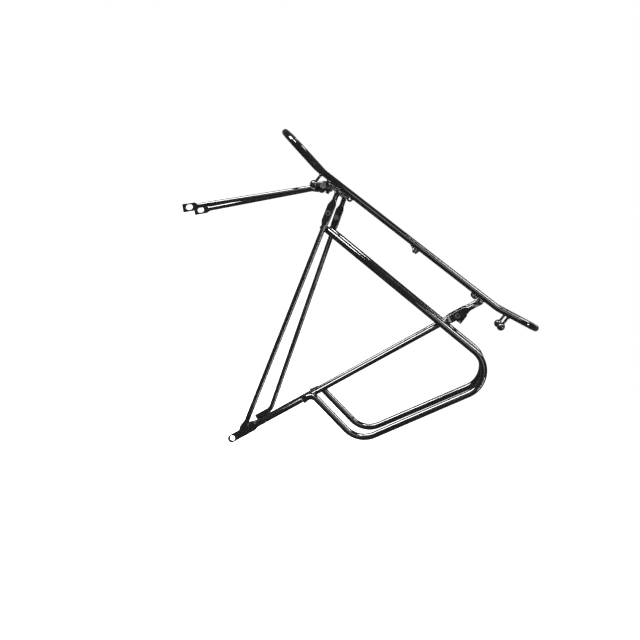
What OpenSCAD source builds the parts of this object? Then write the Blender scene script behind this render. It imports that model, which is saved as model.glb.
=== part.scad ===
// Bicycle rear carrier, welded from bent tube and round rod.
// +X points to the rear of the bicycle, +Y to its right, +Z up.
// The origin is midway between the two dropout eyes, on their common axis.

/* [Tube and rod] */
// Outer diameter of the platform and low rail tube
tube_d = 10; // [8:0.5:12]
// Wall of the platform and low rail tube
tube_wall = 1.2; // [1:0.1:2]
// Diameter of the strut, bridge, deck and stay rod
rod_d = 7.5; // [6:0.25:8]
// Gap left at a welded joint, filled by the weld bead
weld_gap = 0.05; // [0.02:0.01:0.1]

/* [Platform] */
// Height of the platform tube's centre above the dropout eyes
platform_h = 391.4; // [340:1:450]
// Half the distance between the two platform rails
rail_half = 68; // [60:1:75]
// Distance from the eyes forward to the front upward bend
front_bend_x = 145.3; // [130:1:170]
// Distance from the eyes back to the rear upward bend
rear_bend_x = 188; // [180:1:220]
// Length of the upturned front end, measured along X
front_end_l = 72.7; // [65:1:90]
// Length of the upturned rear end, measured along X
rear_end_l = 63; // [60:1:80]
// Angle of both upturned ends
upturn = 9.9; // [5:0.1:15]
// Radius of the four corners of the loop
corner_r = 30; // [26:1:40]
// Radius of the upward bends
upturn_r = 60; // [40:1:90]
// Half the distance between the two deck rods
deck_half = 24; // [20:1:34]
// Diameter of the drain hole under the front of the loop
drain_d = 3; // [2:0.5:4]

/* [Struts] */
// Distance from the eyes forward to the front bridge
front_bridge_x = 98.2; // [90:1:110]
// Distance from the eyes back to the rear bridge
rear_bridge_x = 163.6; // [162:0.1:166]
// Half the distance between the front struts at the top
front_top_half = 75; // [75:1:82]
// Half the distance between the rear struts at the top
rear_top_half = 56.2; // [50:1:57]
// Width of the pressed flats
flat_w = 12; // [10:0.5:14]
// Thickness of the pressed flats
flat_t = 4; // [3:0.25:5]
// Length of each change from round rod to pressed flat
press_l = 10; // [8:1:14]
// Length of the upper flat that holds a threaded boss
boss_flat_l = 23; // [18:1:30]
// How far the front bosses lie below the platform tube's centre
front_boss_drop = 42.2; // [38:0.1:50]
// How far the rear bosses lie below the platform tube's centre
rear_boss_drop = 44.2; // [38:0.1:50]
// Outer diameter of a threaded boss
boss_d = 8; // [7.5:0.5:9]
// Tapping diameter of a threaded boss
boss_bore_d = 4.2; // [3.3:0.1:5]
// Thickness of a boss's closed inner end
boss_floor = 1; // [0.8:0.1:2]
// How far a boss stands proud of the flat
boss_proud = 0.8; // [0.4:0.1:1.5]
// Offset of a boss from the strut's centre line
boss_shift = 1.6; // [0:0.1:2]

/* [Dropout eyes] */
// Half the distance between the two eye flats
eye_half = 66; // [64:0.5:68]
// Diameter of the eye hole
eye_d = 7.5; // [5:0.1:8]
// How far the rounded end reaches past the eye's centre
eye_end = 7; // [6.5:0.5:9]
// Length of the left eye flat above the eye
left_tab_l = 34; // [32:1:40]
// Length of the right eye flat above the eye
right_tab_l = 14; // [12:1:14]
// Distance from the eyes back to the left front strut's cut foot
left_foot_x = 6.1; // [4:0.1:8]
// Height of the left front strut's cut foot above the eyes
left_foot_z = 18; // [16:1:22]
// Length of the left front strut's pressed foot
left_foot_l = 8; // [6:1:10]
// Where the right front strut's tail starts, along the rear strut
right_tail_start = 24.6; // [20:1:30]
// Where the right front strut's tail bends away, along the rear strut
right_tail_bend = 51.3; // [45:1:60]

/* [Low rails] */
// How far the low rail lies below the platform tube's centre at the front strut
low_rail_drop = 62.4; // [60:0.1:70]
// Fall of the low rail towards the rear, in degrees
low_rail_fall = 1.43; // [0:0.1:3]
// Distance from the eyes back to the loop's upper rear corner
loop_rear_x = 261; // [240:1:280]
// Distance from the eyes back to the loop's lower corner
loop_low_x = 149.1; // [140:1:160]
// Height of the loop's lower corner
loop_low_z = 112.4; // [100:1:120]
// Fall of the lower leg towards the rear, in degrees
low_leg_fall = 7.8; // [2:0.1:12]
// Radius of the two rear corners
loop_bend_r = 37; // [30:1:45]
// Radius of the bend into the tail along the rear strut
tail_bend_r = 12; // [11:1:14]
// Length of the tail after its bend
tail_l = 17; // [15:1:22]
// Thickness of the flattened tail
tail_t = 6; // [5:0.5:7]

/* [Hooks, ears and lugs] */
// Distance from the eyes forward to the front hooks
front_hook_x = 134.4; // [128:1:140]
// Distance from the eyes back to the rear hooks
rear_hook_x = 208.5; // [196:1:215]
// How far the front hook balls lie below the platform tube's centre
front_ball_drop = 21.6; // [18:0.1:26]
// How far the rear hook balls lie below the platform tube's centre
rear_ball_drop = 18.2; // [16:0.1:24]
// Diameter of the hook rods
hook_rod_d = 4; // [3:0.5:5]
// Diameter of the hook balls
ball_d = 12; // [9:0.5:13]
// Depth of the blind hole in a ball
ball_socket = 6; // [4:0.5:7]
// Thickness of the sheet ears, lugs and lamp tab
sheet_t = 2.5; // [2:0.5:3]
// Distance from the eyes forward to the front ear
front_ear_x = 79.4; // [74:1:84]
// Distance from the eyes back to the rear ears
rear_ear_x = 151.7; // [148:0.5:153]
// Radius of an ear's rounded end
ear_r = 4.5; // [4:0.5:6]
// Diameter of the hole in an ear
ear_hole_d = 3.2; // [2:0.1:4]
// Distance from the eyes back to the mid lug's front edge
lug_x = 32.4; // [20:1:60]
// Diameter of the hole in a mid lug
lug_hole_d = 3; // [2:0.1:3]
// Width of the rear lamp tab
lamp_tab_w = 15; // [14:1:20]
// Height of the rear lamp tab
lamp_tab_h = 16; // [12:1:16]

/* [Front stays] */
// Distance from the eyes forward to the stay pivots
pivot_x = 127.2; // [124:0.5:130]
// How far the stay pivots lie below the platform tube's centre
pivot_drop = 14.8; // [14.4:0.1:17]
// Half the distance between the stay eyes at the pivots
pivot_half = 15; // [14:0.5:20]
// Half the distance between the slotted stay ends
slot_half = 51; // [30:1:56]
// Distance from a pivot to the middle of its stay's slot
stay_l = 200; // [150:1:260]
// Angle of a stay below horizontal
stay_drop = 47.5; // [20:0.5:60]
// Width of a stay's pressed ends
stay_flat_w = 12.5; // [11.5:0.5:14]
// Length of a stay's slotted end from cut end to taper
stay_flat_l = 18; // [17:1:30]
// Length of the change from a stay's rod to its slotted end
stay_press_l = 7; // [5:0.5:12]
// Distance from the middle of the slot to the cut end
slot_end = 10; // [8:0.5:12]
// Overall length of the slot
slot_l = 10.5; // [10:0.5:13]
// Width of the slot
slot_w = 8; // [6.5:0.5:8.5]
// Diameter of the pivot bolts
bolt_d = 6; // [5:0.5:6]
// Radial running clearance of a stay on its bolt
running_gap = 0.05; // [0.02:0.01:0.09]
// Side clearance on each face of a stay's eye
side_gap = 0.1; // [0.05:0.05:0.3]
// Thickness of the stay bracket's sheet
bracket_t = 3; // [2.5:0.5:4]
// Distance from the eyes forward to the stay cross rod
stay_rod_x = 117.6; // [116:0.1:118]

/* [Hidden] */
$fn = 96;
hull_fn = 32;
hair = 0.01;
collar_l = 0.4;
lap = 1;
press_step = 0.2;
clean_cut = 0.5;
tube_r = tube_d / 2;
rod_r = rod_d / 2;

// Heights that follow from rods laid under the rails
bridge_z = platform_h - tube_r - weld_gap - rod_r;
strut_top_z = bridge_z - rod_r - weld_gap;
deck_z = bridge_z + rod_r + weld_gap + rod_r;
under_rail_z = platform_h - tube_r - weld_gap;
front_boss_z = platform_h - front_boss_drop;
rear_boss_z = platform_h - rear_boss_drop;
low_rail_front_z = platform_h - low_rail_drop;
pivot_z = platform_h - pivot_drop;

// Unit directions in the side plane
function lean_dir(a) = [sin(a), 0, cos(a)];
function unit(v) = v / norm(v);
function mirrored(points) = [for (p = points) [p.x, -p.y, p.z]];
rear_lean = atan(rear_bridge_x / bridge_z);
left_front_lean = atan((left_foot_x + front_bridge_x) / (strut_top_z - left_foot_z));
rear_up = lean_dir(rear_lean);
rear_front_normal = [-cos(rear_lean), 0, sin(rear_lean)];

// Rear struts: centre line of the left one, from the eye to the bridge
function rear_x(z) = z * tan(rear_lean);
rear_round_z = (left_tab_l + press_l) * cos(rear_lean);
rear_flat_low_z = rear_boss_z - boss_flat_l / 2 * cos(rear_lean) - press_l * cos(rear_lean);

// Low rail loop: centre line of the left one, in a plane that leans with the strut
strut_slope = (eye_half - rear_top_half) / (rear_flat_low_z - rear_round_z);
low_rail_rear_z = low_rail_front_z - (loop_rear_x + front_bridge_x) * tan(low_rail_fall);
function loop_y(z) = -eye_half + (z - rear_round_z) * strut_slope - rod_r - tube_r - 2 * weld_gap;
low_rail_half = -loop_y(low_rail_front_z);
tail_bend_x = (loop_low_z + loop_low_x * tan(low_leg_fall))
    / (1 / tan(rear_lean) + tan(low_leg_fall));
tail_bend_z = tail_bend_x / tan(rear_lean);
front_strut_half = low_rail_half + tube_r + weld_gap + rod_r;

// Front struts: the left one is straight, the right one bends into a tail
left_front_top_x = -front_bridge_x;
function left_front_x(z) = left_front_top_x + (strut_top_z - z) * tan(left_front_lean);
left_foot_half = eye_half + flat_t / 2 + weld_gap + flat_t / 2;
right_tail_gap = rod_d + 2 * weld_gap;
right_tail_end = right_tail_start * rear_up + right_tail_gap * rear_front_normal + [0, eye_half, 0];
right_tail_corner = right_tail_bend * rear_up + right_tail_gap * rear_front_normal + [0, eye_half, 0];
right_front_lean = atan((right_tail_corner.x + front_bridge_x) / (strut_top_z - right_tail_corner.z));

// Front stays
stay_dir = [-cos(stay_drop), 0, -sin(stay_drop)];
stay_eye_r = stay_flat_w / 2;
stay_neck = stay_eye_r + 6;
washer_t = 1.2;
washer_d = 12;
hex_af = 10;
head_h = 4;
nut_h = 5;
bolt_tip = 2;
ear_outer_half = pivot_half - flat_t / 2 - side_gap;
nut_inner_half = ear_outer_half - bracket_t - nut_h;
head_half = pivot_half + flat_t / 2 + side_gap + washer_t;
pivot_eye_r = 7;
bracket_web_h = 9;
front_end_z = platform_h + front_end_l * tan(upturn);
rear_end_z = platform_h + rear_end_l * tan(upturn);
tail_press_l = 5;
lamp_tab_drop = 7;
rod_past_rail = 3;
lug_w = 12;
lug_drop = 7;
lug_tip_r = 2;

// ---- Shared shapes ----

// Puts children at p with local +Z along z_axis and local +X as near x_hint as it can be
module frame_at(p, z_axis, x_hint) {
    y_axis = unit(cross(z_axis, x_hint));
    x_axis = cross(y_axis, z_axis);
    multmatrix([[x_axis.x, y_axis.x, z_axis.x, p.x],
                [x_axis.y, y_axis.y, z_axis.y, p.y],
                [x_axis.z, y_axis.z, z_axis.z, p.z],
                [0, 0, 0, 1]])
        children();
}

function hint_for(v) = abs(v.y) < 0.9 ? [0, 1, 0] : [1, 0, 0];

// Straight round bar from a to b
module bar(a, b, d, hint = undef) {
    v = b - a;
    frame_at(a, unit(v), is_undef(hint) ? hint_for(unit(v)) : hint) cylinder(h = norm(v), d = d);
}

function turn_angle(a, p, b) = acos(min(1, unit(p - a) * unit(b - p)));
function tangent_l(a, p, b, r) = r * tan(turn_angle(a, p, b) / 2);
function bend_axis(a, p, b) = unit(cross(p - a, b - p));

// Bend of radius r at corner p, coming from a and leaving to b
module bend(a, p, b, r, d) {
    u = unit(p - a);
    v = unit(b - p);
    inward = unit(v - (u * v) * u);
    centre = p - u * tangent_l(a, p, b, r) + inward * r;
    frame_at(centre, cross(-inward, u), -inward)
        rotate_extrude(angle = turn_angle(a, p, b)) translate([r, 0]) circle(d = d);
}

// Round bar along a route, with one bend radius for each corner and 0 at an open end.
// Bars stop a hair short of their bends, and a short collar a hair larger joins the two.
module bent_bar(route, radii, d, closed = false) {
    n = len(route);
    cut = [for (i = [0:n - 1]) radii[i] == 0 ? 0
        : tangent_l(route[(i + n - 1) % n], route[i], route[(i + 1) % n], radii[i])];
    for (i = [0:closed ? n - 1 : n - 2]) {
        j = (i + 1) % n;
        k = cut[i] > 0 ? i : j;
        u = unit(route[j] - route[i]);
        across = bend_axis(route[(k + n - 1) % n], route[k], route[(k + 1) % n]);
        start = route[i] + u * cut[i];
        end = route[j] - u * cut[j];
        bar(start + u * (cut[i] > 0 ? hair : 0), end - u * (cut[j] > 0 ? hair : 0), d, across);
        for (p = [if (cut[i] > 0) start, if (cut[j] > 0) end])
            bar(p - u * collar_l / 2, p + u * collar_l / 2, d + 2 * hair, across);
    }
    for (i = [0:n - 1]) if (radii[i] > 0)
        bend(route[(i + n - 1) % n], route[i], route[(i + 1) % n], radii[i], d);
}

// Children twice: on the left, and mirrored on the right
module both_sides() {
    children();
    mirror([0, 1, 0]) children();
}

// Flat in a side plane: centre c, leaning a degrees, reaching from s0 to s1 along the lean
module flat(c, a, s0, s1, w, t) {
    translate(c) rotate([0, a, 0]) translate([-w / 2, -t / 2, s0]) cube([w, t, s1 - s0]);
}

// Flat with a round end and a hole at c, leaning a degrees; the end reaches past the hole's centre
module eye_flat(c, a, end, s1, w, t, hole_d) {
    translate(c) rotate([0, a, 0]) rotate([90, 0, 0]) linear_extrude(t, center = true)
        difference() {
            union() {
                translate([-w / 2, w / 2 - end]) square([w, s1 + end - w / 2]);
                translate([0, w / 2 - end]) circle(d = w);
            }
            circle(d = hole_d);
        }
}

// Change from a round bar that ends at p, pointing along v, to a flat's end at q; it laps both
module press(p, v, q, a, d, w, t) {
    hull() {
        frame_at(p, unit(v), hint_for(unit(v)))
            cylinder(h = 2 * lap, d = d - 2 * press_step, center = true, $fn = hull_fn);
        translate(q) rotate([0, a, 0])
            cube([w - 2 * press_step, t - 2 * press_step, 2 * lap], center = true);
    }
}

// Hole along Y through p
module y_hole(p, d, l) {
    translate(p) rotate([90, 0, 0]) cylinder(h = l, d = d, center = true);
}

// ---- Platform ----

// Centre line of the closed loop, from the left front corner round to the right front corner
loop_left = [[-front_bend_x - front_end_l, -rail_half, front_end_z],
    [-front_bend_x, -rail_half, platform_h],
    [rear_bend_x, -rail_half, platform_h],
    [rear_bend_x + rear_end_l, -rail_half, rear_end_z]];
loop_route = concat(loop_left, mirrored([loop_left[3], loop_left[2], loop_left[1], loop_left[0]]));
loop_radii = [corner_r, upturn_r, upturn_r, corner_r, corner_r, upturn_r, upturn_r, corner_r];
front_tube_c = [loop_left[0].x, 0, front_end_z];
rear_tube_c = [loop_left[3].x, 0, rear_end_z];

module loop_solid(d) {
    bent_bar(loop_route, loop_radii, d, closed = true);
}

module platform_loop() {
    color("#141414") difference() {
        loop_solid(tube_d);
        loop_solid(tube_d - 2 * tube_wall);
        translate([-front_bend_x - front_end_l, 0, front_end_z - tube_d])
            cylinder(h = tube_d, d = drain_d);
    }
}

// Deck rod that follows the loop and stops at its two cross tubes
module deck_rod(side) {
    drop = platform_h - deck_z;
    route = [[-front_bend_x - front_end_l, side * deck_half, front_end_z - drop],
        [-front_bend_x, side * deck_half, deck_z],
        [rear_bend_x, side * deck_half, deck_z],
        [rear_bend_x + rear_end_l, side * deck_half, rear_end_z - drop]];
    difference() {
        bent_bar(route, [0, upturn_r, upturn_r, 0], rod_d);
        for (c = [front_tube_c, rear_tube_c]) {
            y_hole(c, tube_d + 2 * weld_gap, 2 * rail_half);
            translate(c + [sign(c.x) * tube_d, 0, 0])
                cube([2 * tube_d, 2 * rail_half, 3 * tube_d], center = true);
        }
    }
}

module left_deck_rod() {
    color("#161616") deck_rod(-1);
}

module right_deck_rod() {
    color("#161616") deck_rod(1);
}

module cross_rod(x, half) {
    bar([x, -half, bridge_z], [x, half, bridge_z], rod_d);
}

module front_bridge() {
    color("#161616") cross_rod(-front_bridge_x, front_top_half + rod_r);
}

module rear_bridge() {
    color("#161616") cross_rod(rear_bridge_x, rail_half + rod_past_rail);
}

module stay_cross_rod() {
    color("#161616") cross_rod(-stay_rod_x, rail_half + rod_past_rail);
}

// ---- Struts ----

// Boss centre on a strut at height z; shift is along +X across the strut
function boss_centre(x, y, z, a, shift) = [x + shift * cos(a), y, z - shift * sin(a)];

// Upper flat of a strut whose centre line passes c, with a round neck up to top_z
module boss_flat(c, a, shift, top_z) {
    up = lean_dir(a);
    half_l = boss_flat_l / 2;
    neck = c + up * (half_l + press_l);
    difference() {
        union() {
            flat(c + [shift / 2, 0, 0], a, -half_l, half_l, flat_w, flat_t);
            press(neck, up, c + [shift / 2, 0, 0] + up * half_l, a, rod_d, flat_w, flat_t);
            bar(neck, c + up * ((top_z - c.z) / cos(a) + rod_r), rod_d);
        }
        y_hole(boss_centre(c.x, c.y, c.z, a, shift), boss_d + 2 * weld_gap, 3 * flat_t);
        translate([c.x - boss_flat_l, c.y - boss_flat_l, top_z])
            cube([2 * boss_flat_l, 2 * boss_flat_l, 2 * rod_d]);
    }
}

module rear_strut(side, tab_l) {
    eye = [0, side * eye_half, 0];
    round_end = eye + rear_up * (tab_l + press_l);
    c = [rear_x(rear_boss_z), side * rear_top_half, rear_boss_z];
    low = c - rear_up * (boss_flat_l / 2 + press_l);
    along = unit(low - round_end);
    difference() {
        union() {
            eye_flat(eye, rear_lean, eye_end, tab_l, flat_w, flat_t, eye_d);
            press(round_end, along, eye + rear_up * tab_l, rear_lean, rod_d, flat_w, flat_t);
            bar(round_end, low, rod_d);
            press(low, along, c + [boss_shift / 2, 0, 0] - rear_up * boss_flat_l / 2, rear_lean,
                rod_d, flat_w, flat_t);
        }
        y_hole(boss_centre(c.x, c.y, c.z, rear_lean, boss_shift), boss_d + 2 * weld_gap, 3 * flat_t);
    }
    boss_flat(c, rear_lean, boss_shift, strut_top_z);
}

module left_rear_strut() {
    color("#151515") rear_strut(-1, left_tab_l);
}

module right_rear_strut() {
    color("#151515") rear_strut(1, right_tab_l);
}

module left_front_strut() {
    a = -left_front_lean;
    up = lean_dir(a);
    foot = [left_front_x(left_foot_z), -left_foot_half, left_foot_z];
    round_end = foot + up * (left_foot_l + press_l) - [0, rod_r - flat_t / 2, 0];
    c = [left_front_x(front_boss_z), -front_strut_half, front_boss_z];
    low = c - up * (boss_flat_l / 2 + press_l);
    color("#151515") {
        flat(foot, a, 0, left_foot_l, flat_w, flat_t);
        press(round_end, up, foot + up * left_foot_l, a, rod_d, flat_w, flat_t);
        bar(round_end, low, rod_d);
        press(low, up, c - [boss_shift / 2, 0, 0] - up * boss_flat_l / 2, a, rod_d, flat_w, flat_t);
        boss_flat(c, a, -boss_shift, strut_top_z);
    }
}

module right_front_strut() {
    a = -right_front_lean;
    up = lean_dir(a);
    x_at_boss = -front_bridge_x + (strut_top_z - front_boss_z) * tan(right_front_lean);
    c = [x_at_boss, front_strut_half, front_boss_z];
    low = c - up * (boss_flat_l / 2 + press_l);
    color("#151515") {
        bent_bar([right_tail_end, right_tail_corner, low], [0, 2 * rod_d, 0], rod_d);
        press(low, up, c - [boss_shift / 2, 0, 0] - up * boss_flat_l / 2, a, rod_d, flat_w, flat_t);
        boss_flat(c, a, -boss_shift, strut_top_z);
    }
}

// Threaded boss pressed into the flat at centre c, bored from outside and closed within
module boss(c) {
    boss_l = flat_t + 2 * boss_proud;
    difference() {
        y_hole(c, boss_d, boss_l);
        y_hole(c + [0, sign(c.y) * boss_floor, 0], boss_bore_d, boss_l);
    }
}

left_front_boss_c = boss_centre(left_front_x(front_boss_z), -front_strut_half, front_boss_z,
    -left_front_lean, -boss_shift);
right_front_boss_c = boss_centre(-front_bridge_x + (strut_top_z - front_boss_z)
    * tan(right_front_lean), front_strut_half, front_boss_z, -right_front_lean, -boss_shift);
left_rear_boss_c = boss_centre(rear_x(rear_boss_z), -rear_top_half, rear_boss_z,
    rear_lean, boss_shift);

module left_front_boss() {
    color("#2a2a2a") boss(left_front_boss_c);
}

module right_front_boss() {
    color("#2a2a2a") boss(right_front_boss_c);
}

module left_rear_boss() {
    color("#2a2a2a") boss(left_rear_boss_c);
}

module right_rear_boss() {
    color("#2a2a2a") mirror([0, 1, 0]) boss(left_rear_boss_c);
}

// Upright sheet tab on the inner face of the left rear flat
module rear_lamp_tab() {
    y_inner = -rear_top_half + flat_t / 2 + weld_gap;
    c = left_rear_boss_c;
    color("#151515") difference() {
        translate([c.x - boss_d / 2, y_inner, c.z - lamp_tab_drop]) cube([lamp_tab_w, sheet_t, lamp_tab_h]);
        y_hole(c, boss_d + 4 * weld_gap, 8 * flat_t);
    }
}

// ---- Low rails ----

low_route = [[left_front_x(low_rail_front_z) - tube_r, loop_y(low_rail_front_z), low_rail_front_z],
    [loop_rear_x, loop_y(low_rail_rear_z), low_rail_rear_z],
    [loop_low_x, loop_y(loop_low_z), loop_low_z],
    [tail_bend_x, loop_y(tail_bend_z), tail_bend_z]];

module low_rail() {
    corner = low_route[3];
    down = unit([-rear_up.x, -strut_slope * rear_up.z, -rear_up.z]);
    tail_run = tangent_l(low_route[2], corner, corner + down, tail_bend_r);
    tail_round = corner + down * (tail_run + lap);
    tail_flat = corner + down * (tail_run + tail_press_l) + [0, tube_r - tail_t / 2, 0];
    route = concat(low_route, [tail_round]);
    radii = [0, loop_bend_r, loop_bend_r, tail_bend_r, 0];
    difference() {
        bent_bar(route, radii, tube_d);
        bent_bar(route, radii, tube_d - 2 * tube_wall);
    }
    press(tail_round, down, tail_flat, rear_lean, tube_d, flat_w, tail_t);
    flat(tail_flat, rear_lean, tail_run + tail_press_l - tail_l, 0, flat_w, tail_t);
}

module left_low_rail() {
    color("#141414") low_rail();
}

module right_low_rail() {
    color("#141414") mirror([0, 1, 0]) low_rail();
}

// ---- Hooks, ears and lugs ----

front_hook = [-front_hook_x, -rail_half, platform_h - front_ball_drop];
rear_hook = [rear_hook_x, -rail_half, platform_h - rear_ball_drop];

// Hook rod from inside its ball up to the rail tube above it
module hook_rod(ball) {
    difference() {
        bar(ball + [0, 0, ball_d / 2 - ball_socket + weld_gap], ball + [0, 0, 4 * tube_d], hook_rod_d);
        loop_solid(tube_d + 2 * weld_gap);
        translate([ball.x - tube_d, ball.y - tube_d, platform_h]) cube([2 * tube_d, 2 * tube_d, 3 * tube_d]);
    }
}

module hook_ball(ball) {
    difference() {
        translate(ball) sphere(d = ball_d);
        translate(ball + [0, 0, ball_d / 2 - ball_socket])
            cylinder(h = ball_d, d = hook_rod_d + 2 * weld_gap);
    }
}

module left_front_hook_rod() {
    color("#1a1a1a") hook_rod(front_hook);
}

module right_front_hook_rod() {
    color("#1a1a1a") mirror([0, 1, 0]) hook_rod(front_hook);
}

module left_rear_hook_rod() {
    color("#1a1a1a") hook_rod(rear_hook);
}

module right_rear_hook_rod() {
    color("#1a1a1a") mirror([0, 1, 0]) hook_rod(rear_hook);
}

module left_front_hook_ball() {
    color("#101010") hook_ball(front_hook);
}

module right_front_hook_ball() {
    color("#101010") mirror([0, 1, 0]) hook_ball(front_hook);
}

module left_rear_hook_ball() {
    color("#101010") hook_ball(rear_hook);
}

module right_rear_hook_ball() {
    color("#101010") mirror([0, 1, 0]) hook_ball(rear_hook);
}

// Sheet ear hanging under the rail at x, with a hole in its rounded end
module ear(x) {
    c = [x, -rail_half, under_rail_z - ear_r / 3];
    difference() {
        union() {
            y_hole(c, 2 * ear_r, sheet_t);
            translate([x - ear_r, -rail_half - sheet_t / 2, c.z]) cube([2 * ear_r, sheet_t, tube_r]);
        }
        y_hole(c, ear_hole_d, 3 * sheet_t);
        translate([x, -rail_half, platform_h]) rotate([0, 90, 0])
            cylinder(h = 4 * ear_r, d = tube_d + 2 * weld_gap, center = true);
    }
}

module front_ear() {
    color("#151515") ear(-front_ear_x);
}

module rear_ears() {
    color("#151515") both_sides() ear(rear_ear_x);
}

// Three-cornered lug under the rail with a small hole
module mid_lug() {
    tip = [lug_w - lug_tip_r - 1, -lug_drop + lug_tip_r];
    difference() {
        translate([lug_x, -rail_half + sheet_t / 2, under_rail_z]) rotate([90, 0, 0])
            linear_extrude(sheet_t) difference() {
                union() {
                    polygon([[0, tube_r], [0, 0], tip - [lug_tip_r, 0], tip + [lug_tip_r, 0], [lug_w, 0],
                        [lug_w, tube_r]]);
                    translate(tip) circle(r = lug_tip_r);
                }
                translate([lug_w * 0.55, -1.8]) circle(d = lug_hole_d);
            }
        translate([lug_x, -rail_half, platform_h]) rotate([0, 90, 0])
            cylinder(h = 4 * lug_w, d = tube_d + 2 * weld_gap, center = true);
    }
}

module mid_lugs() {
    color("#151515") both_sides() mid_lug();
}

// ---- Front stays ----

pivot = [-pivot_x, -pivot_half, pivot_z];

// Sheet bracket with two ears under the stay cross rod
module stay_bracket() {
    rod_c = [-stay_rod_x, 0, bridge_z];
    v = rod_c - [-pivot_x, 0, pivot_z];
    ear_lean = atan2(v.x, v.z);
    web_x = -stay_rod_x - bracket_t / 2;
    color("#151515") difference() {
        union() {
            both_sides() {
                translate([0, -ear_outer_half + bracket_t / 2, 0])
                    eye_flat([-pivot_x, 0, pivot_z], ear_lean, pivot_eye_r, norm(v),
                        2 * pivot_eye_r, bracket_t, bolt_d + 2 * running_gap);
            }
            translate([web_x, -ear_outer_half, bridge_z - rod_r - bracket_web_h])
                cube([bracket_t, 2 * ear_outer_half, bracket_web_h]);
        }
        y_hole(rod_c, rod_d + 2 * weld_gap, 4 * ear_outer_half);
        for (s = [-1, 1]) translate([0, s * deck_half, deck_z]) rotate([0, 90, 0])
            cylinder(h = 4 * front_bend_x, d = rod_d + 2 * weld_gap, center = true);
    }
}

module stay_bolt() {
    translate([-pivot_x, 0, pivot_z]) rotate([90, 0, 0]) {
        translate([0, 0, nut_inner_half - bolt_tip])
            cylinder(h = head_half - nut_inner_half + bolt_tip, d = bolt_d);
        translate([0, 0, head_half]) cylinder(h = head_h, d = hex_af / cos(30), $fn = 6);
    }
}

module left_stay_bolt() {
    color("#9a9a98") stay_bolt();
}

module right_stay_bolt() {
    color("#9a9a98") mirror([0, 1, 0]) stay_bolt();
}

module stay_washers() {
    color("#a2a29f") both_sides()
        translate([-pivot_x, 0, pivot_z]) rotate([90, 0, 0]) translate([0, 0, head_half - washer_t])
            difference() {
                cylinder(h = washer_t, d = washer_d);
                translate([0, 0, -clean_cut])
                    cylinder(h = washer_t + 2 * clean_cut, d = bolt_d + 4 * running_gap);
            }
}

module stay_nuts() {
    color("#9a9a98") both_sides()
        translate([-pivot_x, 0, pivot_z]) rotate([90, 0, 0]) translate([0, 0, nut_inner_half])
            difference() {
                cylinder(h = nut_h, d = hex_af / cos(30), $fn = 6);
                translate([0, 0, -clean_cut])
                    cylinder(h = nut_h + 2 * clean_cut, d = bolt_d + 2 * running_gap);
            }
}

// Front stay: pivot eye, rod that splays outwards, and a square-cut slotted end
module stay() {
    a = atan2(stay_dir.x, stay_dir.z);
    slot_c = [0, -slot_half, 0] + [-pivot_x, 0, pivot_z] + stay_dir * stay_l;
    flat_start = slot_c - stay_dir * (stay_flat_l - slot_end);
    rod_end = flat_start - stay_dir * stay_press_l;
    rod_start = pivot + stay_dir * (stay_neck + press_l);
    splay = unit(rod_end - rod_start);
    difference() {
        union() {
            eye_flat(pivot, a, stay_eye_r, stay_neck, stay_flat_w, flat_t, bolt_d + 2 * running_gap);
            press(rod_start, splay, pivot + stay_dir * stay_neck, a, rod_d, stay_flat_w, flat_t);
            bar(rod_start, rod_end, rod_d);
            press(rod_end, splay, flat_start, a, rod_d, stay_flat_w, flat_t);
            flat(flat_start, a, 0, stay_flat_l, stay_flat_w, flat_t);
        }
        for (s = [-1, 1]) y_hole(slot_c + s * (slot_l - slot_w) / 2 * stay_dir, slot_w, 3 * flat_t);
        flat(slot_c, a, -(slot_l - slot_w) / 2, (slot_l - slot_w) / 2, slot_w - 2 * hair, 3 * flat_t);
    }
}

module left_stay() {
    color("#141414") stay();
}

module right_stay() {
    color("#141414") mirror([0, 1, 0]) stay();
}

platform_loop();
left_deck_rod();
right_deck_rod();
front_bridge();
rear_bridge();
stay_cross_rod();
left_front_strut();
right_front_strut();
left_rear_strut();
right_rear_strut();
left_low_rail();
right_low_rail();
left_front_boss();
right_front_boss();
left_rear_boss();
right_rear_boss();
rear_lamp_tab();
left_front_hook_rod();
right_front_hook_rod();
left_rear_hook_rod();
right_rear_hook_rod();
left_front_hook_ball();
right_front_hook_ball();
left_rear_hook_ball();
right_rear_hook_ball();
front_ear();
rear_ears();
mid_lugs();
stay_bracket();
left_stay_bolt();
right_stay_bolt();
stay_washers();
stay_nuts();
left_stay();
right_stay();
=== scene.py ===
"""Looks for a bicycle rear carrier of welded, gloss black tube and rod.

Routes are worked out in millimetres and turned to metres where a mesh is made.
"""
import logging
import math
from dataclasses import dataclass, field, replace
from enum import Enum
from typing import Sequence

import bmesh
import bpy
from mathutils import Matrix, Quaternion, Vector


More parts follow.
